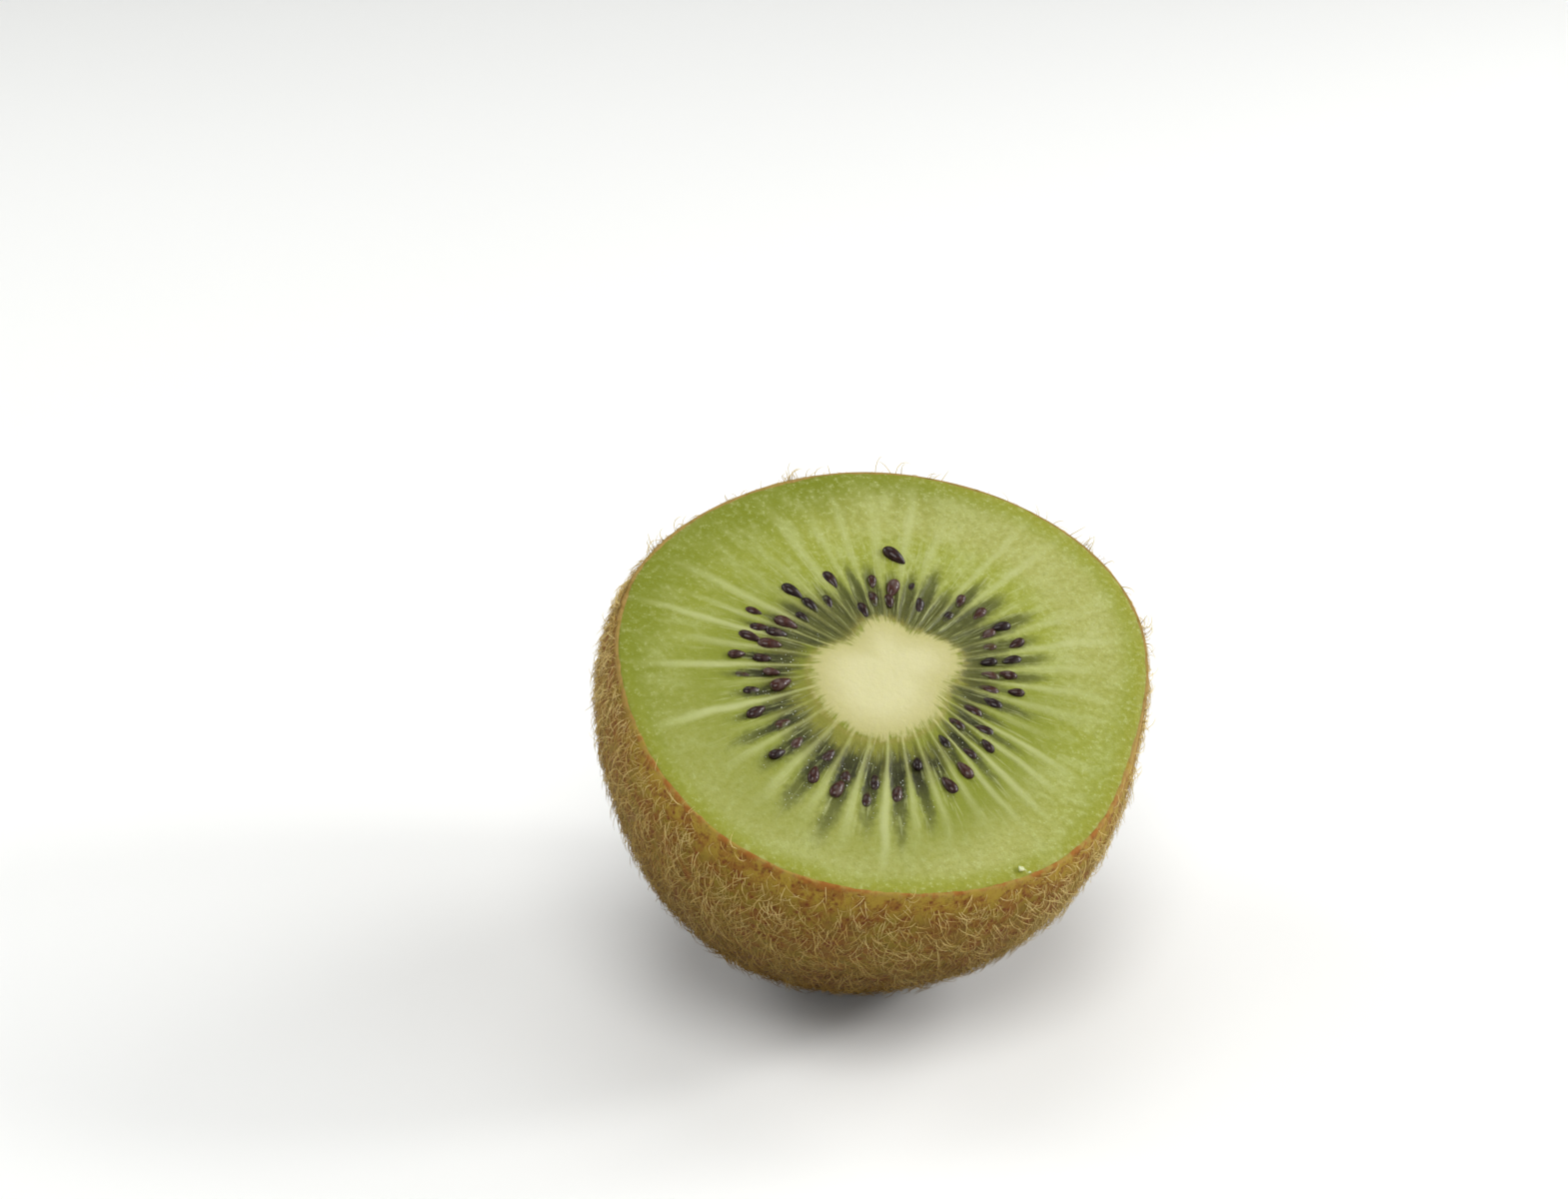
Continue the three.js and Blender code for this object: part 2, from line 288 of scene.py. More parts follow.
class Finish(Graph):
    # a material; its uniform values are set on the shader's own sockets
    def __init__(self, name, uniform):
        self.material = bpy.data.materials.new(name)
        self.material.use_nodes = True
        super().__init__(self.material.node_tree)
        self.surface = self.tree.nodes["Principled BSDF"]
        self.painted = None
        for key, value in uniform.items():
            self.surface.inputs[key].default_value = value

    def shade(self, **wires):
        for key, value in wires.items():
            self.feed(self.surface.inputs[key.capitalize()], value)
        if self.painted:
            self.feed(self.surface.inputs["Base Color"], self.painted)
        return self.material

    def mix(self, factor, a, b, blend="MIX"):
        return self.add("ShaderNodeMix", {"data_type": "RGBA", "blend_type": blend, "clamp_factor": True},
                        {"Factor_Float": factor, "A_Color": a, "B_Color": b}, "Result_Color")

    def tint(self, factor, colour, blend="MIX"):
        # lays a colour over what is painted so far
        self.painted = self.mix(factor, self.painted, colour, blend)

    def noise(self, vector, scale, detail):
        return self.add("ShaderNodeTexNoise", {}, {"Vector": vector, "Scale": scale, "Detail": detail}, "Fac")

    def cells(self, vector, scale):
        # how far the middle of the nearest cell is
        return self.add("ShaderNodeTexVoronoi", {"feature": "F1"}, {"Vector": vector, "Scale": scale}, "Distance")

    def tone(self):
        return self.add("ShaderNodeAttribute", {"attribute_name": "tone"}, {}, "Fac")

    def cutPlace(self):
        # the point in the frame of the cut, in millimetres
        place = self.add("ShaderNodeTexCoord", {}, {}, "Object")
        return self.add("ShaderNodeMapping", {"vector_type": "TEXTURE"},
                        {"Vector": place, "Location": [float(c) * mm for c in cutCentre],
                         "Rotation": (lean, 0, 0), "Scale": (mm, mm, mm)})

    def spread(self, x, y, radius, count, scale):
        # a place for noise that is drawn out along the radius
        return self.add("ShaderNodeCombineXYZ", {}, {
            "X": x / radius * count * 0.5, "Y": y / radius * count * 0.5, "Z": radius * scale})

    def luck(self, index):
        return self.add("ShaderNodeTexWhiteNoise", {"noise_dimensions": "1D"}, {"W": index}, "Value")

    def evenTurn(self, turn):
        for count, size, peak in fruit["rayWander"]:
            turn = (turn * count - count * math.radians(peak)).cosine() * size + turn
        return turn

    def bump(self, height):
        # height in millimetres
        return self.add("ShaderNodeBump", {}, {"Height": height, "Distance": mm, "Strength": 1.0})

    def wavy(self, form, turn):
        mean, waves = form
        total = 1.0
        for count, share, peak in waves:
            total = (turn * count - count * math.radians(peak)).cosine() * share + total
        return total * mean


def geometryTree(name, settings):
    # a geometry tree with a named input for each setting; returns its graph and a wire from each input
    tree = bpy.data.node_groups.new(name, "GeometryNodeTree")
    tree.interface.new_socket("Geometry", in_out="INPUT", socket_type="NodeSocketGeometry")
    for key, value in settings.items():
        kind = "NodeSocketInt" if isinstance(value, int) else "NodeSocketFloat"
        tree.interface.new_socket(key, in_out="INPUT", socket_type=kind)
    tree.interface.new_socket("Geometry", in_out="OUTPUT", socket_type="NodeSocketGeometry")
    graph = Graph(tree)
    source = tree.nodes.new("NodeGroupInput")
    wires = {key: Wire(graph, source.outputs[key]) for key in ["Geometry", *settings]}
    return graph, wires


def endTree(graph, geometry, material):
    whole = graph.add("GeometryNodeRealizeInstances", {}, {"Geometry": geometry})
    painted = graph.add("GeometryNodeSetMaterial", {}, {"Geometry": whole, "Material": material})
    graph.add("NodeGroupOutput", {}, {"Geometry": painted})


def grow(name, source, graph, settings):
    # runs a geometry tree on a source object and keeps the result as a plain mesh of its own
    modifier = source.modifiers.new(name, "NODES")
    modifier.node_group = graph.tree
    for item in graph.tree.interface.items_tree:
        if item.in_out == "INPUT" and item.name in settings:
            modifier[item.identifier] = settings[item.name]
    depsgraph = bpy.context.evaluated_depsgraph_get()
    mesh = bpy.data.meshes.new_from_object(source.evaluated_get(depsgraph), depsgraph=depsgraph)
    mesh.name = name
    source.modifiers.remove(modifier)
    return newPiece(name, mesh)


# Flesh: the cut face with its cream core, pale rays and sunken seed chambers, and the body under it.
flesh = {
    "inset": 0.3,
    "segmentsPerRay": 12,
    "coreRise": 0.18,
    "chamberDepth": 0.16,
    "rayRise": 0.03,
    "rimDrop": 0.07,
    "grain": 0.03,
    "unevenness": 0.05,
    # noise drawn out along the radius: its count round the cut, its scale along the radius, its detail
    "streaks": (26, 0.3, 3),
    "fibres": (44, 0.5, 2),
    "dashes": (70, 1.3, 1),
    "threads": (110, 0.35, 2),
    # where the flesh is pale, partly its own colour and partly painted light: the side in degrees, how far round,
    # the span from the rim, the strength
    "paleAndLitPatches": [(25, 0.2, (1.0, 4.0), (7.0, 11.0), 0.75), (228, 0.1, (0.6, 3.0), (7.5, 11.5), 0.85)],
    # the side where the flesh is deep green, partly its own colour and partly painted shade
    "greenAndShadedSide": 112,
    "core": srgb(197, 192, 145),
    "coreEdge": srgb(174, 168, 110),
    "fringe": srgb(138, 128, 62),
    "band": srgb(84, 80, 38),
    "innerFlesh": srgb(119, 127, 36),
    "midFlesh": srgb(143, 149, 55),
    "outerFlesh": srgb(138, 144, 50),
    "rimFlesh": srgb(142, 140, 42),
    "deepGreenAndShade": srgb(107, 116, 18),
    "paleAndLitFlesh": srgb(163, 163, 95),
    "chamber": srgb(79, 82, 36),
    "chamberDeep": srgb(46, 46, 22),
    "jelly": srgb(132, 138, 84),
    "ray": srgb(174, 178, 121),
    "fleck": srgb(181, 186, 126),
    # painted glint: the near-white colour of the juice drops' highlights
    "paintedGlint": srgb(236, 242, 222),
}


def faceForms(turn, radius):
    # masks of the cut face's forms in numbers, for the mesh
    core = wavy(fruit["core"], turn)
    rim = wavy(fruit["cut"], turn)
    share = (radius - core) / (rim - core)
    phase = (turn + wander(turn)) * fruit["rays"] / fullTurn
    offRay = np.abs(phase - np.round(phase))
    offLine = offRay * fullTurn / fruit["rays"] * radius
    end = wavy(fruit["chamberEnds"], turn)
    along = (radius - core - 0.3) / (end - core - 0.3)
    width = 0.36 * np.clip(1 - along, 0, 1) ** 0.55
    wall = 0.5 - width
    chamber = smooth(0, 0.12, along) * (1 - smooth(0.8, 1, along)) * smooth(wall - 0.12, wall + 0.08, offRay)
    ray = (1 - smooth(0.08, 0.34, offLine)) * smooth(0, 0.06, share) * (1 - smooth(0.55, 0.8, share))
    return share, chamber, ray


def faceHeight(turn, radius):
    share, chamber, ray = faceForms(turn, radius)
    core = flesh["coreRise"] * (1 - smooth(-0.08, 0.06, share))
    return core - flesh["chamberDepth"] * chamber + flesh["rayRise"] * ray


def buildFlesh():
    segments = fruit["rays"] * flesh["segmentsPerRay"]
    turn = allTurns(segments)
    core = wavy(fruit["core"], turn)
    rim = np.hypot(*bodyPoints(turn, 0.0 * turn, flesh["inset"])[:, :2].T)
    inner = [core * share for share in np.linspace(0.08, 0.92, 9)]
    outer = [core + (rim - core) * share for share in 1 - (1 - np.linspace(0, 1, 64)) ** 1.15]
    radii = np.array(inner + outer)
    turns = np.broadcast_to(turn, radii.shape)
    face = np.stack([radii * np.cos(turns), radii * np.sin(turns), faceHeight(turns, radii)], -1)
    face[..., 2] += flesh["grain"] * lumps(face, 1.3, 3) + flesh["unevenness"] * lumps(face, 5.0, 5)
    face[..., 2] -= flesh["rimDrop"] * smooth(0.55, 0, rim - radii)
    steps = np.linspace(0, 1, 15)[1:-1, None] + 0 * turn
    side = bodyPoints(turn + 0 * steps, steps, flesh["inset"] + 0.1)
    rings = np.concatenate([face, side])
    low = bodyPoints(np.array(0.0), np.array(1.0), flesh["inset"] + 0.1)
    low[:2] = 0
    piece = closedRings("fleshBody", np.array([0, 0, face[0, 0, 2]]), rings, low)
    print("flesh:", len(piece.data.polygons), "faces")
    return piece


class CutFace:
    # what the flesh is coloured by: distances in millimetres, and patterns from 0 to 1
    def __init__(self, paint):
        place = paint.cutPlace()
        x, y, _ = paint.parts(place)
        radius = (x * x + y * y) ** 0.5
        bend = paint.noise(place, 0.13, 2) - 0.5
        self.place = place
        self.radius = radius
        self.turn = x.maths("ARCTAN2", y, x) + bend * 0.06
        self.cloud = paint.noise(place, 0.16, 3)
        self.grain = paint.noise(place, 1.6, 3)
        self.fine = paint.noise(place, 5.5, 2)
        self.streaks, self.fibres, self.dashes, self.threads = [
            paint.noise(paint.spread(x, y, radius, count, scale), 1.0, detail)
            for count, scale, detail in (flesh[key] for key in ("streaks", "fibres", "dashes", "threads"))]
        self.measure(paint)

    def measure(self, paint):
        # how far the outlines are, and the nearest ray and chamber
        rim = paint.wavy(fruit["cut"], self.turn)
        ring = paint.wavy(fruit["seedRing"], self.turn)
        self.core = paint.wavy(fruit["core"], self.turn)
        self.fromCore = self.radius - self.core
        self.fromRing = self.radius - ring
        self.toRim = rim - self.radius
        self.share = self.fromCore / (rim - self.core)
        phase = paint.evenTurn(self.turn) * (fruit["rays"] / fullTurn)
        ray, chamber = (phase + 0.5).floor(), phase.floor()
        self.rayLuck = paint.luck(ray % fruit["rays"])
        self.chamberLuck = paint.luck(chamber % fruit["rays"] + 0.37)
        self.offLine = abs(phase - ray) * self.radius * (fullTurn / fruit["rays"])
        self.offMiddle = abs(phase - chamber - 0.5)

    def facing(self, degrees, low, high):
        # 1 on the side of the cut at that turn, 0 on the others
        return (self.turn - math.radians(degrees)).cosine().past(low, high)


def outerFlesh(paint, face):
    # the flesh between the chambers and the skin
    share, toRim, cloud, grain = face.share, face.toRim, face.cloud, face.grain
    paint.painted = paint.mix(share.past(0.1, 0.5), flesh["innerFlesh"], flesh["midFlesh"])
    paint.tint((share + (face.streaks - 0.5) * 0.3).past(0.5, 0.95), flesh["outerFlesh"])
    # paler and deeper green sides: partly the flesh's own colour, partly painted light and painted shade
    for degrees, low, start, end, strength in flesh["paleAndLitPatches"]:
        patch = face.facing(degrees, low, 0.95) * toRim.past(*start) * (1 - toRim.past(*end))
        paint.tint(patch * strength, flesh["paleAndLitFlesh"])
    green = face.facing(flesh["greenAndShadedSide"], -0.1, 0.9) * (1 - (toRim + (cloud - 0.5) * 5).past(0.5, 8.5))
    paint.tint(green * 0.85, flesh["deepGreenAndShade"])
    atRim = (1 - toRim.past(0.1, 2.4)) * (1 - face.facing(flesh["greenAndShadedSide"], 0.1, 0.9))
    paint.tint(atRim * 0.6, flesh["rimFlesh"])
    streaked = (face.streaks - 0.46).past(0.0, 0.26) * share.past(0.1, 0.35) * toRim.past(0.5, 4.0)
    paint.tint(streaked * 0.35, flesh["fleck"])
    paint.tint((cloud - 0.5).past(0.0, 0.25) * 0.22, flesh["fleck"])
    paint.tint(face.dashes.past(0.56, 0.8) * share.past(0.1, 0.3) * 0.26, flesh["fleck"])
    paint.tint((0.5 - face.fine).past(-0.05, 0.25) * 0.3, flesh["innerFlesh"])
    paint.tint((grain - 0.5).past(0.0, 0.2) * 0.24, flesh["fleck"])
    paint.tint((0.5 - grain).past(0.0, 0.2) * 0.26, flesh["innerFlesh"])
    pulp = (0.42 - paint.cells(face.place, 3.3)).past(0.0, 0.35) * (grain - 0.42).past(0.0, 0.2)
    paint.tint(pulp * share.past(0.2, 0.5) * 0.58, flesh["fleck"])


def darkBand(paint, face, pastGap, reach):
    # the pale gap and the dark band round the core, and the shade about the chambers; also gives the band
    wavering = (face.cloud - 0.5) * 3
    fringe = face.fromCore.past(-0.2, 0.5) * (1 - pastGap.past(-0.2, 2.0))
    paint.tint(fringe * 0.85, flesh["fringe"])
    shade = (1 - (face.radius - reach + wavering).past(-1.5, 6.0)) * face.fromCore.past(0.0, 1.0)
    shade = shade * face.facing(225, -0.75, 0.2) * (1 - face.facing(212, 0.6, 1.0) * 0.45)
    greener = face.facing(150, 0.2, 0.95) * face.share.past(0.1, 0.3)
    paint.tint(greener * 0.3, flesh["innerFlesh"])
    paint.tint(shade * 0.85, flesh["innerFlesh"])
    band = pastGap.past(-1.0, 1.4) * (1 - (face.fromRing + wavering).past(-2.2, 1.6))
    paint.tint(band * 0.85, flesh["band"])
    return band


def seedChambers(paint, face):
    # the dark band and the chambers that run out of it; also gives where both are
    grain, fibres, threads = face.grain, face.fibres, face.threads
    gap = face.facing(222, -0.4, 1.0) * 1.9 + 0.1
    ragged = (fibres - 0.5) * 3.0 + (threads - 0.5) * 1.6 + (face.chamberLuck - 0.5) * 0.8
    pastGap = face.fromCore - gap + ragged
    reach = paint.wavy(fruit["chamberEnds"], face.turn)
    reach = reach * (face.facing(318, 0.5, 1.0) * 0.22 + 1.06)
    band = darkBand(paint, face, pastGap, reach)
    along = face.fromCore / (reach * (face.chamberLuck * 0.24 + 0.88) - face.core)
    width = (1 - along).atLeast(0.0) ** 0.48 * (face.facing(60, -0.2, 1.0) * 0.2 + 0.54)
    wall = face.offMiddle - width + (grain - 0.5) * 0.25 + (fibres - 0.5) * 0.4
    chamber = (1 - wall.past(-0.28, 0.1)) * pastGap.past(-0.8, 1.6) * (1 - along.past(0.7, 1.04))
    chamber = chamber * (face.chamberLuck * 0.3 + 0.75)
    paint.tint(chamber * 0.82, flesh["chamber"])
    deep = chamber.past(0.45, 0.95) * (1 - face.fromRing.past(-0.5, 4.0))
    deep = deep * (grain + face.chamberLuck * 0.3).past(0.3, 0.62)
    deep = deep * (face.facing(230, -0.5, 0.6) * 0.65 + face.fromRing.past(-3.0, -1.0) * 0.3)
    paint.tint(deep, flesh["chamberDeep"])
    jelly = (threads + fibres * 0.5 + grain * 0.4).past(0.92, 1.25)
    paint.tint(chamber * jelly * 0.4, flesh["jelly"])
    return band, chamber


def paleRays(paint, face):
    # thin near the core, broader and softer outward; also gives where they are
    share, offLine, rayLuck = face.share, face.offLine, face.rayLuck
    lineWidth = share.past(0.1, 0.6) * 0.4 + 0.24
    line = (1 - (offLine / lineWidth).past(0.1, 1.0)) * (face.fibres * 0.5 + 0.7)
    pastEnd = share - (rayLuck * 0.3 + 0.66)
    strength = face.facing(235, -0.8, 0.8) * 0.5 + share.past(0.1, 0.35) * 0.3 + 0.14
    strength = strength * (rayLuck * 0.65 + 0.3)
    rays = line * face.fromCore.past(-0.6, 0.3) * (1 - pastEnd.past(-0.35, 0.0)) * strength
    glow = (1 - offLine.past(0.1, 0.85)) * share.past(0.2, 0.4) * (1 - pastEnd.past(-0.2, 0.1)) * rayLuck
    paint.tint(glow * 0.3, flesh["fleck"])
    strands = face.threads.past(0.55, 0.72) * face.fromCore.past(0.0, 1.5) * (1 - share.past(0.45, 0.8))
    paint.tint(strands * 0.38, flesh["ray"])
    paint.tint(rays, flesh["ray"])
    return rays


def creamCore(paint, face, rays):
    # the core, with a frayed edge
    fray = (face.fibres - 0.5) * 2.4 + (face.threads - 0.5) * 1.2 + (face.grain - 0.5) + rays * 0.9
    inCore = 1 - (face.fromCore - fray).past(-0.75, 0.55)
    nearEdge = (face.fromCore + (face.grain - 0.5)).past(-4.6, 0.6)
    paint.tint(inCore, paint.mix(nearEdge, flesh["core"], flesh["coreEdge"]))


def juiceDropsAndPaintedGlints(paint, face, band, chamber):
    # juice drops, mostly in the long chambers; they are wet and bumpy, and their glints are painted as a
    # near-white colour
    drops = paint.cells(face.place, 2.9)
    luck = paint.add("ShaderNodeSeparateColor", {}, {"Color": paint.other(drops, "Color")}, "Red")
    wetPart = (chamber + band * 0.3) * face.facing(225, -0.4, 0.5)
    elsewhere = face.share.past(0.3, 0.6) * face.cloud.past(0.5, 0.65) * 0.12
    wetDropsAndGlints = (1 - (drops + (face.fine - 0.5) * 0.4).past(0.04, 0.2)) * luck.past(0.35, 0.6)
    return wetDropsAndGlints * (wetPart + elsewhere)


def fleshFinish():
    paint = Finish("kiwiFlesh", {"Subsurface Weight": 0.4, "Subsurface Radius": (1.0, 1.1, 0.45),
                                 "Subsurface Scale": 0.0006, "IOR": 1.4, "Specular IOR Level": 0.2})
    face = CutFace(paint)
    outerFlesh(paint, face)
    band, chamber = seedChambers(paint, face)
    rays = paleRays(paint, face)
    creamCore(paint, face, rays)
    wetDropsAndGlints = juiceDropsAndPaintedGlints(paint, face, band, chamber)
    # painted highlights: the juice drops are tinted near white, as glints
    paint.tint(wetDropsAndGlints * 0.9, flesh["paintedGlint"])
    bumps = (face.grain - 0.5) * 0.1 + (face.fine - 0.5) * 0.05 + wetDropsAndGlints * 0.06 + rays * 0.03
    wet = (face.grain - 0.5) * 0.15 + 0.46 - chamber * 0.08 - wetDropsAndGlints * 0.2
    return paint.shade(roughness=wet, normal=paint.bump(bumps))


# Seeds: drops that lie half sunk in the chambers, one or two to a chamber, in two rows by turns.
seeds = {
    "length": 2.2,
    "width": 1.36,
    "flatness": 0.75,
    "lift": 0.02,
    "sinking": (-0.22, 0.16),
    "scales": (0.74, 1.08),
    "twist": 0.32,
    "spacing": 1.5,
    "draw": 7,
    "pairedShare": 0.62,
    "rowOffset": 1.35,
    "rowJitter": 1.9,
    "turnJitter": 0.16,
    "tipTilt": 0.12,
    "restSeed": 11,
    "toneSeed": 4,
    # seeds out of the ring: turn, reach, twist, scale
    "strays": [(1.03, 14.6, 0.95, 1.2)],
    "coat": srgb(68, 34, 24),
    "coatDark": srgb(27, 13, 11),
    "bloom": srgb(102, 88, 80),
    "film": srgb(82, 84, 44),
}


def seededDraw(state):
    # the same repeatable numbers as the solids use
    while True:
        state = (state + 0x6D2B79F5) & 0xFFFFFFFF
        mixed = ((state ^ (state >> 15)) * (1 | state)) & 0xFFFFFFFF
        mixed = ((mixed + (((mixed ^ (mixed >> 7)) * (61 | mixed)) & 0xFFFFFFFF)) & 0xFFFFFFFF) ^ mixed
        yield (mixed ^ (mixed >> 14)) / 4294967296


def unwander(phaseTurn):
    # the turn whose wandered turn is phaseTurn
    turn = phaseTurn
    for _ in range(12):
        turn = phaseTurn - float(wander(turn))
    return turn


def seedSpots():
    draw = seededDraw(seeds["draw"])
    spots = []
    for k in range(fruit["rays"]):
        side = -1 if k % 2 == 0 else 1
        for row in [side, -side] if next(draw) < seeds["pairedShare"] else [side]:
            offMiddle = (next(draw) - 0.5) * 2 * seeds["turnJitter"]
            turn = unwander((k + 0.5 + offMiddle) * fullTurn / fruit["rays"])
            middle = float(wavy(fruit["seedRing"], turn))
            reach = middle + row * seeds["rowOffset"] + (next(draw) - 0.5) * seeds["rowJitter"]
            twist = (next(draw) - 0.5) * 2 * seeds["twist"]
            low, high = seeds["scales"]
            scale = low + (high - low) * next(draw)
            place = np.array([reach * math.cos(turn), reach * math.sin(turn)])
            if all(np.hypot(*(place - other[4])) > seeds["spacing"] for other in spots):
                spots.append((turn, reach, twist, scale, place))
    return [spot[:4] for spot in spots] + seeds["strays"]


def seedPlaces(spots):
    # a point for each seed, with its size and the way it faces
    chance = random.Random(seeds["restSeed"])
    faceUp = leanMatrix @ [0, 0, 1]
    places, facings = [], []
    for turn, reach, twist, _ in spots:
        surface = float(faceHeight(np.array(turn), np.array(reach)))
        height = surface + seeds["lift"] + chance.uniform(*seeds["sinking"])
        places.append([reach * math.cos(turn), reach * math.sin(turn), height])
        tip = chance.uniform(-seeds["tipTilt"], seeds["tipTilt"])
        outward = leanMatrix @ [math.cos(turn + twist), math.sin(turn + twist), tip]
        across = np.cross(faceUp, outward)
        basis = np.stack([across / np.linalg.norm(across), faceUp, outward / np.linalg.norm(outward)], -1)
        basis[:, 1] = np.cross(basis[:, 2], basis[:, 0])
        facings.append(list(Matrix(basis.tolist()).to_euler()))
    source = meshFrom("seedPlaces", setDown(np.array(places)), [])
    carry(source, "facing", "FLOAT_VECTOR", facings)
    carry(source, "size", "FLOAT", [scale for _, _, _, scale in spots])
    return source


def seedShape(graph, wires):
    # a drop with its point along -Z
    ball = graph.add("GeometryNodeMeshUVSphere", {}, {"Segments": 16, "Rings": 11, "Radius": 1.0}, "Mesh")
    x, y, z = graph.parts(graph.add("GeometryNodeInputPosition"))
    narrow = 1 - (z * -0.5 + 0.5) ** 1.6 * 0.5
    drop = graph.add("ShaderNodeCombineXYZ", {}, {
        "X": x * narrow * wires["Width"] * 0.5,
        "Y": y * narrow * wires["Width"] * wires["Flatness"] * 0.5,
        "Z": z * wires["Length"] * 0.5})
    shaped = graph.add("GeometryNodeSetPosition", {}, {"Geometry": ball, "Position": drop})
    return graph.add("GeometryNodeSetShadeSmooth", {}, {"Geometry": shaped})


def buildSeeds(material):
    spots = seedSpots()
    source = seedPlaces(spots)
    settings = {"Length": seeds["length"] * mm, "Width": seeds["width"] * mm, "Flatness": seeds["flatness"],
                "Seed": seeds["toneSeed"]}
    graph, wires = geometryTree("seedTree", settings)
    facing = graph.add("FunctionNodeEulerToRotation", {}, {"Euler": graph.named("facing", "FLOAT_VECTOR")})
    placed = graph.add("GeometryNodeInstanceOnPoints", {}, {
        "Points": wires["Geometry"], "Instance": seedShape(graph, wires),
        "Rotation": facing, "Scale": graph.named("size")})
    endTree(graph, graph.toned(placed, wires["Seed"]), material)
    piece = grow("seeds", source, graph, settings)
    bpy.data.objects.remove(source)
    print("seeds:", len(spots), "of them,", len(piece.data.polygons), "faces")
    return piece


def seedFinish():
    paint = Finish("kiwiSeed", {"Coat Weight": 0.35, "Coat Roughness": 0.05, "IOR": 1.4,
                                "Specular IOR Level": 0.15})
    place = paint.cutPlace()
    tone = paint.tone()
    height = paint.parts(place)[2]
    coat = paint.noise(place, 3.0, 2)
    film = paint.noise(place, 1.1, 2)
    paint.painted = paint.mix((coat * 0.6 + tone * 0.5).past(0.3, 0.9), seeds["coatDark"], seeds["coat"])
    paint.tint((film + tone * 0.16).past(0.6, 0.8) * 0.4, seeds["bloom"])
    # the pulp clings to a seed's foot
    foot = 1 - (height + (film - 0.5) * 1.1).past(-0.24, 0.06)
    paint.tint(foot * 0.8, seeds["film"])
    return paint.shade(roughness=coat * 0.2 + 0.3, normal=paint.bump((coat - 0.5) * 0.06))


# Skin: a thin cup round the flesh, with a bare rim where it was cut.
skin = {
    "wall": 0.75,
    "segments": 320,
    "rings": 88,
    "innerRings": 8,
    "bigLump": 0.16,
    "smallLump": 0.05,
    "clearOfSolid": 0.04,
    "olive": srgb(130, 110, 36),
    "brown": srgb(124, 94, 38),
    "red": srgb(128, 78, 30),
    "band": srgb(164, 136, 48),
    "dark": srgb(76, 50, 26),
    "dots": srgb(104, 46, 22),
    # painted shade: the skin and the hairs are multiplied darker toward the far end and the bottom, over these
    # depths
    "paintedShade": srgb(162, 144, 102),
    "paintedShadeSpan": (-24.0, -2.0),
    "rimLine": srgb(152, 96, 38),
    "rimTan": srgb(158, 132, 72),
    "dotSpacing": 0.5,
}


def outerSkin(turn, step):
    points = bodyPoints(turn, step, 0.0)
    inward = bodyPoints(turn, step, 1.0) - points
    relief = skin["bigLump"] * lumps(points, 7.0, 1) + skin["smallLump"] * lumps(points, 1.8, 2)
    calm = smooth(0, 0.05, step)
    return points - inward * (relief * (0.25 + 0.75 * calm) - skin["clearOfSolid"])[..., None]


def buildSkin():
    turn = allTurns(skin["segments"])
    steps = np.linspace(0, 1, skin["rings"] + 1)[:-1]
    turns, rows = np.meshgrid(turn, steps)
    outer = outerSkin(turns, rows)
    outer[0, :, 2] = -0.1
    innerTurns, innerRows = np.meshgrid(turn, np.linspace(0, 1, skin["innerRings"] + 1)[:-1])
    inner = bodyPoints(innerTurns, innerRows, skin["wall"])[::-1]
    inner[-1, :, 2] = -0.22
    crest = (outer[0] * 0.8 + inner[-1] * 0.2)[None]
    crest[..., 2] = 0.07 * lumps(crest, 0.7, 8) + 0.05 * lumps(crest, 2.6, 9)
    rings = np.concatenate([inner, crest, outer])
    end = bodyPoints(np.array(0.0), np.array(1.0), 0.0)
    first = end + [0, 0, skin["wall"]]
    piece = closedRings("skinShell", first, rings, end)
    flattenOnGround(piece.data)
    print("skin:", len(piece.data.polygons), "faces")
    return piece


def flattenOnGround(mesh, clearance=0.0):
    # nothing reaches below the surface that the fruit lies on
    places = np.empty(len(mesh.vertices) * 3)
    mesh.vertices.foreach_get("co", places)
    places = places.reshape(-1, 3)
    places[:, 2] = np.maximum(places[:, 2], clearance)
    mesh.vertices.foreach_set("co", places.ravel())
    mesh.update()


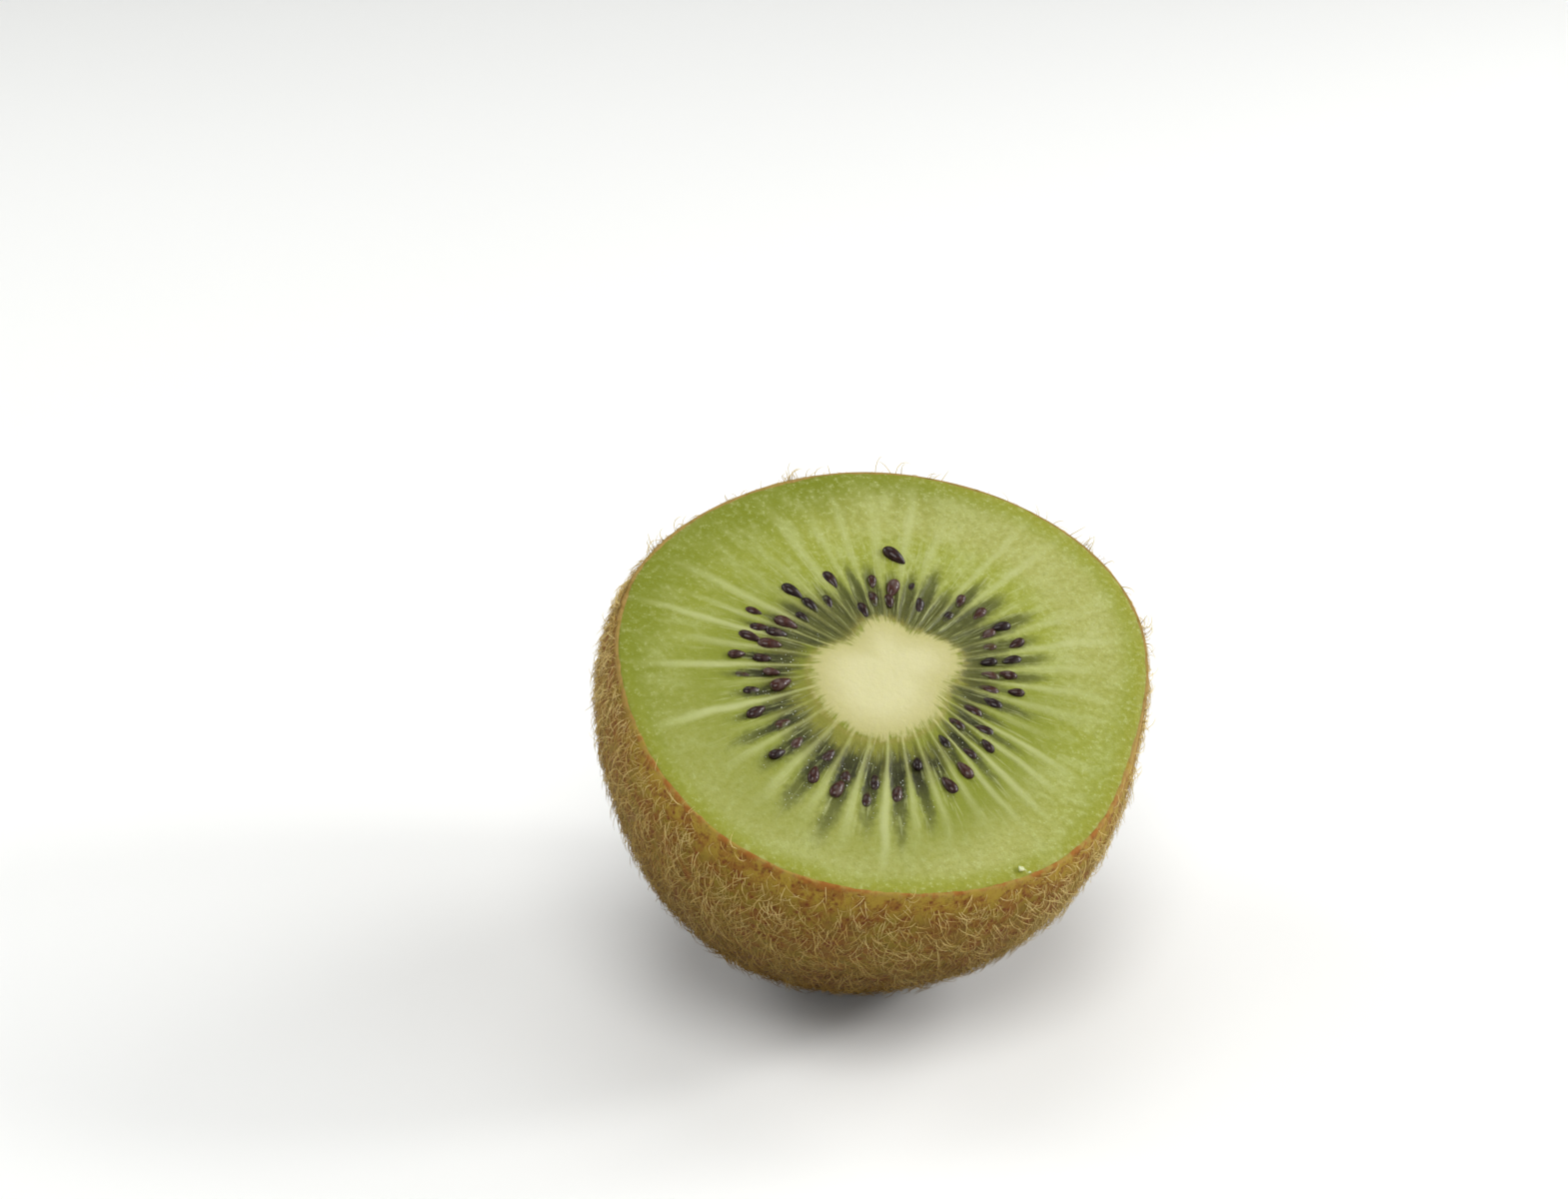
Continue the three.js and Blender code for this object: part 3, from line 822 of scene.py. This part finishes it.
def skinFinish():
    paint = Finish("kiwiSkin", {"IOR": 1.4, "Specular IOR Level": 0.2})
    place = paint.cutPlace()
    x, y, z = paint.parts(place)
    patches = paint.noise(place, 0.22, 3)
    grain = paint.noise(place, 1.4, 3)
    fine = paint.noise(place, 6.0, 2)
    blotches = paint.noise(place, 0.75, 3)
    dots = paint.cells(place, 1 / skin["dotSpacing"])
    dotMask = (1 - (dots + (fine - 0.5) * 0.5).past(0.14, 0.5)) * blotches.past(0.36, 0.56)
    paint.painted = paint.mix((patches + (grain - 0.5) * 0.5).past(0.36, 0.7), skin["olive"], skin["brown"])
    # the bare band under the rim at the front: paler, partly the bare skin's own colour and partly painted light
    # near the cut's rim
    bare = (z + (grain - 0.5) * 2.2).past(-3.6, -1.0) * (y * -1.0 - x * 0.3).past(2.0, 14.0)
    paint.tint(bare * 0.75, skin["band"])
    paint.tint((blotches + (fine - 0.5) * 0.3).past(0.42, 0.66) * 0.75, skin["red"])
    paint.tint((fine + grain - 1).past(-0.05, 0.35) * 0.4, skin["dark"])
    paint.tint(dotMask * 0.8, skin["dots"])
    # painted shade: darker toward the far end and the bottom
    paint.tint(1 - z.past(*skin["paintedShadeSpan"]), skin["paintedShade"], "MULTIPLY")
    edge = (z + (grain - 0.5) * 0.9).past(-0.5, -0.1) * (blotches * 1.2).past(0.3, 0.7)
    front = (y * -1.0 - x * 0.6).past(6.0, 18.0) * blotches.past(0.4, 0.6)
    paint.tint(edge * 0.8, paint.mix(front, skin["rimTan"], skin["rimLine"]))
    bumps = dotMask * 0.05 + (grain - 0.5) * 0.08 + (fine - 0.5) * 0.03
    return paint.shade(roughness=0.62 + grain * 0.25, normal=paint.bump(bumps))


# Stalk end: the corky scar and the dried sepals round it.
stalk = {
    "scarRadius": 2.2,
    "scarHeight": 0.3,
    # the scar's outline from its rim to its middle, as shares of its radius and of its height
    "scarProfile": [(0.95, 0.6), (1.16, 0.2), (1.12, -0.3), (1.0, -0.85), (0.8, -1.0), (0.62, -0.8),
                    (0.42, -0.72), (0.3, -1.05), (0.14, -1.1)],
    "sepals": 5,
    "lengths": (2.9, 5),
    "width": 1.7,
    "middleDegrees": 90,
    "spacing": 42,
    "scatter": 6,
    "thickness": 0.34,
    "curl": 0.55,
    "cork": srgb(120, 92, 62),
    "corkDark": srgb(66, 46, 30),
}


def stepAtReach(turn, reach):
    low, high = 0.5, 1.0
    for _ in range(24):
        middle = (low + high) / 2
        low, high = (middle, high) if outline(turn, middle)[0] > reach else (low, middle)
    return low


def buildScar():
    turn = allTurns(48)
    end = -fruit["bodyDepth"]
    rings = []
    for width, height in stalk["scarProfile"]:
        radius = width * stalk["scarRadius"]
        level = end + height * stalk["scarHeight"] + 0 * turn
        rings.append(np.stack([radius * np.cos(turn), radius * np.sin(turn), level], -1))
    rings = np.array(rings)
    rings[..., 2] += 0.1 * lumps(rings, 0.7, 41)
    rings[..., :2] *= 1 + 0.08 * lumps(rings, 1.4, 42)[..., None]
    first = np.array([0, 0, end + 0.6 * stalk["scarHeight"]])
    last = np.array([0, 0, end - 1.0 * stalk["scarHeight"]])
    return closedRings("stalkScar", first, rings, last)


def buildSepal(k, turn, length):
    # a dry leaf that lies along the skin and curls off it toward the tip
    steps, sides = 16, 14
    rings = []
    for i in range(steps):
        share = i / (steps - 1)
        reach = stalk["scarRadius"] * 0.6 + length * share
        half = stalk["width"] / 2 * (1 - 0.85 * share ** 2.2) * (0.8 + 0.2 * math.sin(share * math.pi))
        lift = stalk["curl"] * share ** 2.5
        angle = allTurns(sides)
        across = half * np.cos(angle)
        up = stalk["thickness"] / 2 * np.sin(angle) * (1 - 0.5 * share) + lift
        up += 0.35 * (across / stalk["width"]) ** 2
        sway = turn + across / reach + 0.12 * math.sin(share * 3 + k)
        rings.append([bodyPoints(np.array(t), np.array(stepAtReach(t, reach)), -float(u) - 0.12)
                      for t, u in zip(sway, up)])
    rings = np.array(rings)
    rings += 0.05 * lumps(rings, 0.6, 43 + k)[..., None]
    return closedRings(f"sepal{k}", rings[0].mean(0), rings, rings[-1].mean(0))


def buildStalkEnd():
    draw = seededDraw(stalk["sepals"])
    low, high = stalk["lengths"]
    pieces = [buildScar()]
    for k in range(stalk["sepals"]):
        fromMiddle = (k - (stalk["sepals"] - 1) / 2) * stalk["spacing"]
        scatter = (next(draw) - 0.5) * 2 * stalk["scatter"]
        turn = math.radians(stalk["middleDegrees"] + fromMiddle + scatter)
        pieces.append(buildSepal(k, turn, low + (high - low) * next(draw)))
    return joined("stalkEnd", pieces)


def joined(name, pieces):
    # one piece from several, each a closed shell
    points, faces = [], []
    for piece in pieces:
        start = len(points)
        points += [vertex.co[:] for vertex in piece.data.vertices]
        faces += [[start + corner for corner in face.vertices] for face in piece.data.polygons]
        bpy.data.objects.remove(piece)
    whole = meshFrom(name, np.array(points), faces)
    flattenOnGround(whole.data, 0.01 * mm)
    print(name + ":", len(whole.data.polygons), "faces")
    return whole


def stalkFinish():
    paint = Finish("kiwiStalk", {"Roughness": 0.85, "Specular IOR Level": 0.2})
    place = paint.cutPlace()
    grain = paint.noise(place, 2.2, 3)
    paint.painted = paint.mix(grain.past(0.35, 0.65), stalk["corkDark"], stalk["cork"])
    return paint.shade(roughness=grain * 0.2 + 0.72, normal=paint.bump((grain - 0.5) * 0.12))


# Scrap: a shred of pale pulp that the knife left on the rim.
scrap = {
    "degrees": 269,
    "fromRim": 0.75,
    "size": 1.1,
    "colour": srgb(214, 218, 176),
}


def buildScrap():
    turn, size = math.radians(scrap["degrees"]), scrap["size"]
    radius = float(wavy(fruit["cut"], turn)) - scrap["fromRim"]
    steps, sides = 10, 10
    angle = allTurns(sides)
    rings = []
    for i in range(steps):
        share = i / (steps - 1)
        wide = size * 0.3 * math.sin(math.pi * (0.12 + 0.8 * share)) * (1 + 0.5 * math.sin(share * 9))
        x = radius * math.cos(turn) - 0.5 + size * share
        y = radius * math.sin(turn) + 0.3 * math.sin(share * 4)
        z = 0.1 + 0.22 * math.sin(share * 5 + 1)
        rings.append(np.stack([x + 0 * angle, y + wide * np.cos(angle), z + 0.4 * wide * np.sin(angle)], -1))
    rings = np.array(rings)
    rings += 0.16 * lumps(rings, 0.4, 51)[..., None]
    return closedRings("pulpScrap", rings[0].mean(0), rings[:, ::-1], rings[-1].mean(0))


def scrapFinish():
    paint = Finish("palePulp", {"Roughness": 0.35, "Subsurface Weight": 0.4, "Subsurface Scale": 0.0005})
    grain = paint.noise(paint.cutPlace(), 3.0, 2)
    paint.painted = paint.mix(grain.past(0.3, 0.7), scrap["colour"], flesh["ray"])
    return paint.shade(roughness=grain * 0.2 + 0.3)


# Hairs: a felt of short bent hairs, a few longer ones over it, and tufts past the cut's rim.
hairs = {
    "felt": {"perSquare": 2.4, "length": 1.0, "root": 0.033, "rise": 0.17, "bends": 2, "spread": 1.2,
             "scales": (0.5, 1.25)},
    "over": {"perSquare": 1.3, "length": 1.6, "root": 0.036, "rise": 0.24, "bends": 3, "spread": 1.3,
             "scales": (0.6, 1.3)},
    "rim": {"perSquare": 5.0, "length": 1.4, "root": 0.045, "rise": 0.5, "bends": 3, "spread": 0.9,
            "scales": (0.45, 1.4)},
    # clumps past the rim: the middle and the half width in degrees, and how thick they stand
    "tufts": [(139, 13, 2.6), (88, 11, 2.2), (62, 7, 1.2), (337, 14, 2.4), (15, 8, 1.0), (170, 9, 1.6),
              (205, 8, 1.0)],
    "variants": 9,
    "swirl": 1.5,
    "tilt": 0.35,
    "pale": srgb(222, 200, 134),
    "golden": srgb(182, 149, 72),
    "red": srgb(138, 86, 32),
}


def hairShape(name, form, chance):
    # one bent hair of three sides that leaves the skin at the origin and lies over toward +X
    bends = form["bends"]
    bow = chance.uniform(-0.7, 0.7)
    rise = form["rise"] * chance.uniform(0.6, 1.5)
    drop = chance.uniform(0.2, 1.0)
    points, faces = [], []
    for k in range(bends + 2):
        share = k / (bends + 1)
        middle = [form["length"] * share * (1 - 0.25 * bow * bow), form["length"] * bow * share ** 2,
                  form["length"] * rise * (2.2 * share - (1.2 + drop) * share ** 2) - (0.06 if k == 0 else 0)]
        thin = form["root"] * (1 - 0.75 * share)
        if k == bends + 1:
            points.append(middle)
            break
        for side in range(3):
            angle = side * fullTurn / 3
            points.append([middle[0], middle[1] + thin * math.cos(angle), middle[2] + thin * math.sin(angle)])
    for k in range(bends):
        for side in range(3):
            a, b = 3 * k + side, 3 * k + (side + 1) % 3
            faces.append([a, b, b + 3, a + 3])
    tip = 3 * (bends + 1)
    for side in range(3):
        faces.append([tip - 3 + side, tip - 3 + (side + 1) % 3, tip])
    faces.append([2, 1, 0])
    hair = meshFrom(name, np.array(points) * mm, faces)
    bpy.context.scene.collection.objects.unlink(hair)
    return hair


def hairThickness(points, turns, upward):
    # how thick the hairs stand: thin on the bare band, and upward only in clumps
    if not upward:
        front = smooth(2, 14, -points[..., 1] - 0.3 * points[..., 0])
        bare = smooth(-3.4, -0.8, points[..., 2] + 1.6 * lumps(points, 2.4, 21)) * front
        return (1 - 0.7 * bare) * (0.93 + 0.6 * lumps(points, 1.3, 22))
    thick = 0.25 * smooth(0.0, 0.4, lumps(points, 2.6, 23))
    clumps = smooth(-0.15, 0.35, lumps(points, 1.9, 25))
    for degrees, width, strength in hairs["tufts"]:
        off = (turns - math.radians(degrees) + math.pi) % fullTurn - math.pi
        thick = thick + strength * np.exp(-(off / math.radians(width)) ** 2) * clumps
    return thick


def hairField(fromStep, toStep, rows, upward):
    # an open patch of the outer skin for hairs to grow on, with how thick they stand and which way they lie
    segments = 240
    turn = allTurns(segments)
    turns, steps = np.meshgrid(turn, np.linspace(fromStep, toStep, rows))
    points = outerSkin(turns, steps)
    along = np.gradient(points, axis=0) * (-1 if upward else 1)
    around = np.roll(points, -1, 1) - np.roll(points, 1, 1)
    along /= np.linalg.norm(along, axis=-1, keepdims=True)
    around /= np.linalg.norm(around, axis=-1, keepdims=True)
    swirl = (hairs["swirl"] * lumps(points, 2.3, 24))[..., None]
    along = along * np.cos(swirl) + around * np.sin(swirl)
    lay = along @ leanMatrix.T
    thick = np.clip(hairThickness(points, turns, upward), 0, 4)
    field = meshFrom("hairField", setDown(points.reshape(-1, 3)), ringFaces(rows, segments, 0))
    flattenOnGround(field.data)
    carry(field, "thick", "FLOAT", thick)
    carry(field, "lay", "FLOAT_VECTOR", lay)
    return field


def hairTurns(graph, wires, normal):
    # how each hair is turned: out of the skin, along its lay, then swayed by chance
    tilt, spread = wires["Tilt"], wires["Spread"]
    upright = graph.add("FunctionNodeAlignRotationToVector", {"axis": "Z"}, {"Vector": normal})
    lying = graph.add("FunctionNodeAlignRotationToVector", {"axis": "X", "pivot_axis": "Z"},
                      {"Rotation": upright, "Vector": graph.named("lay", "FLOAT_VECTOR")})
    low = graph.add("ShaderNodeCombineXYZ", {}, {"X": tilt * -1, "Y": tilt * -1, "Z": spread * -1})
    high = graph.add("ShaderNodeCombineXYZ", {}, {"X": tilt, "Y": tilt * 0.4, "Z": spread})
    sway = graph.chance("FLOAT_VECTOR", low, high, wires["Seed"])
    sway = graph.add("FunctionNodeEulerToRotation", {}, {"Euler": sway})
    return graph.add("FunctionNodeRotateRotation", {"rotation_space": "LOCAL"},
                     {"Rotation": lying, "Rotate By": sway})


def growHairs(name, form, field, material, seed):
    chance = random.Random(seed)
    shapes = bpy.data.collections.new(name + "Shapes")
    for k in range(hairs["variants"]):
        shapes.objects.link(hairShape(f"{name}Hair{k}", form, chance))
    smallest, largest = form["scales"]
    settings = {"Per Square": form["perSquare"] / mm ** 2, "Spread": form["spread"], "Tilt": hairs["tilt"],
                "Smallest": smallest, "Largest": largest, "Seed": seed}
    graph, wires = geometryTree(name + "Tree", settings)
    density = wires["Per Square"] * graph.named("thick")
    points = graph.add("GeometryNodeDistributePointsOnFaces", {"distribute_method": "RANDOM"},
                       {"Mesh": wires["Geometry"], "Density": density, "Seed": wires["Seed"]}, "Points")
    kinds = graph.add("GeometryNodeCollectionInfo", {}, {
        "Collection": shapes, "Separate Children": True, "Reset Children": True})
    placed = graph.add("GeometryNodeInstanceOnPoints", {}, {
        "Points": points, "Instance": kinds, "Pick Instance": True,
        "Instance Index": graph.chance("INT", 0, hairs["variants"] - 1, wires["Seed"]),
        "Rotation": hairTurns(graph, wires, graph.other(points, "Normal")),
        "Scale": graph.chance("FLOAT", wires["Smallest"], wires["Largest"], wires["Seed"])})
    endTree(graph, graph.toned(placed, wires["Seed"]), material)
    piece = grow(name, field, graph, settings)
    flattenOnGround(piece.data, 0.02 * mm)
    triangles = sum(len(face.vertices) - 2 for face in piece.data.polygons)
    print(name + ":", triangles, "triangles")
    for hair in list(shapes.objects):
        bpy.data.objects.remove(hair)
    bpy.data.collections.remove(shapes)
    return piece


def hairFinish():
    paint = Finish("kiwiHair", {"IOR": 1.4, "Specular IOR Level": 0.2})
    place = paint.cutPlace()
    tone = paint.tone()
    x, y, z = paint.parts(place)
    # painted light: the hairs are paler on the right side, toward the key lamp, and near the cut's rim, where
    # more light falls
    paintedLitSide = (x * 0.86 - y * 0.5).past(2.0, 24.0)
    pale = tone * 0.75 + paint.noise(place, 0.25, 2) * 0.5 + z.past(-7.0, -1.0) * 0.15 + paintedLitSide * 0.18 - 0.14
    stops = [(0.0, hairs["red"]), (0.45, hairs["golden"]), (1.0, hairs["pale"])]
    paint.painted = paint.add("ShaderNodeValToRGB", {"stops": stops}, {"Fac": pale}, "Color")
    # painted shade: darker toward the far end and the bottom
    paint.tint(1 - z.past(*skin["paintedShadeSpan"]), skin["paintedShade"], "MULTIPLY")
    return paint.shade(roughness=0.5 + tone * 0.2)


# Camera and light: the photograph's view, with soft light from the right and behind.
studio = {
    "azimuth": -30.3,
    "elevation": 25.15,
    "distance": 275.75,
    "focalPixels": 3000.0,
    "photoWidth": 1569,
    "photoHeight": 1200,
    "sensorWidth": 36,
    "cutMiddlePixel": (891.0, 668.0),
    "floor": srgb(240, 240, 237),
    "sky": srgb(246, 248, 250),
    "leftWall": 0.95,
    "rightWall": 1.35,
    "roomGlow": 0.15,
    # from here on in metres
    "nearestSeen": 0.01,
    "floorReach": 3.0,
    "aimHeight": 0.015,
    # a lamp's place to the right, toward the camera and up, its size, and its power in watts
    "lamps": {
        "keyLamp": (0.56, -0.035, 0.27, 0.12, 1.15),
        "rearRightLamp": (0.45, -0.25, 0.3, 0.25, 1.0),
        "rearLeftLamp": (-0.45, -0.2, 0.35, 0.3, 0.7),
        "frontTopLamp": (0.0, 0.35, 0.6, 0.4, 2.2),
        "rearTopLamp": (0.0, -0.3, 0.6, 0.4, 0.78),
    },
}


def buildStudio():
    azimuth, elevation = math.radians(studio["azimuth"]), math.radians(studio["elevation"])
    toward = Vector((math.sin(azimuth), -math.cos(azimuth), 0))
    right = Vector((math.cos(azimuth), math.sin(azimuth), 0))
    addCamera(toward * math.cos(elevation) + Vector((0, 0, math.sin(elevation))), right)
    for name, (side, front, height, size, power) in studio["lamps"].items():
        addLamp(name, right * side + toward * front + Vector((0, 0, height)), size, power)
    buildRoom(right)
    buildFloor()
    bpy.context.scene.view_settings.view_transform = "Standard"


def addCamera(back, right):
    up = back.cross(right)
    scale = studio["distance"] / studio["focalPixels"]
    offRight = (studio["cutMiddlePixel"][0] - studio["photoWidth"] / 2) * scale
    offUp = (studio["photoHeight"] / 2 - studio["cutMiddlePixel"][1]) * scale
    lens = bpy.data.cameras.new("photoCamera")
    lens.sensor_width = studio["sensorWidth"]
    lens.lens = studio["sensorWidth"] * studio["focalPixels"] / studio["photoWidth"]
    lens.clip_start = studio["nearestSeen"]
    camera = bpy.data.objects.new("photoCamera", lens)
    camera.location = (Vector(cutCentre) + back * studio["distance"] - right * offRight - up * offUp) * mm
    camera.rotation_euler = back.to_track_quat("Z", "Y").to_euler()
    bpy.context.scene.collection.objects.link(camera)
    bpy.context.scene.camera = camera


def buildFloor():
    reach = studio["floorReach"]
    corners = np.array([[-reach, -reach, 0], [reach, -reach, 0], [reach, reach, 0], [-reach, reach, 0]])
    floor = meshFrom("floor", corners, [[0, 1, 2, 3]])
    paint = Finish("paleFloor", {"Roughness": 0.6, "Base Color": studio["floor"]})
    place = paint.add("ShaderNodeTexCoord", {}, {}, "Object")
    mottle = paint.noise(place, 6.0, 2)
    floor.data.materials.append(paint.shade(roughness=0.55 + mottle * 0.1))


def buildRoom(right):
    # a room with a bright screen low on the left and on the right
    world = bpy.data.worlds.new("softRoom")
    world.use_nodes = True
    room = Graph(world.node_tree)
    direction = room.add("ShaderNodeTexCoord", {}, {}, "Generated")

    def screen(side):
        middle = (right * side + Vector((0, 0, 0.25))).normalized()
        facing = room.add("ShaderNodeVectorMath", {"operation": "DOT_PRODUCT"},
                          {0: direction, 1: middle}, "Value")
        return facing.past(0.55, 0.95)

    background = world.node_tree.nodes["Background"]
    background.inputs["Color"].default_value = studio["sky"]
    glow = screen(-1) * studio["leftWall"] + screen(1) * studio["rightWall"] + studio["roomGlow"]
    room.feed(background.inputs["Strength"], glow)
    bpy.context.scene.world = world


def addLamp(name, place, size, power):
    lamp = bpy.data.lights.new(name, "AREA")
    lamp.shape = "DISK"
    lamp.size = size
    lamp.energy = power
    light = bpy.data.objects.new(name, lamp)
    light.location = place
    light.rotation_euler = (place - Vector((0, 0, studio["aimHeight"]))).to_track_quat("Z", "Y").to_euler()
    bpy.context.scene.collection.objects.link(light)


def declare(piece, material=None, node=None):
    if material:
        piece.data.materials.append(material)
    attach(piece, "root")
    if node:
        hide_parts(node)


buildStudio()
declare(buildFlesh(), fleshFinish(), "flesh")
declare(buildSeeds(seedFinish()))
declare(buildSkin(), skinFinish(), "skin")
declare(buildStalkEnd(), stalkFinish())
declare(buildScrap(), scrapFinish())
hairMaterial = hairFinish()
wholeSkin = hairField(0.006, 0.995, 100, False)
coatPieces = [("feltA", "felt", 31), ("feltB", "felt", 32), ("overA", "over", 33), ("overB", "over", 34)]
for name, form, seed in coatPieces:
    declare(growHairs(name, hairs[form], wholeSkin, hairMaterial, seed))
bpy.data.objects.remove(wholeSkin)
rimSkin = hairField(0.004, 0.035, 5, True)
declare(growHairs("rimTufts", hairs["rim"], rimSkin, hairMaterial, 35))
bpy.data.objects.remove(rimSkin)
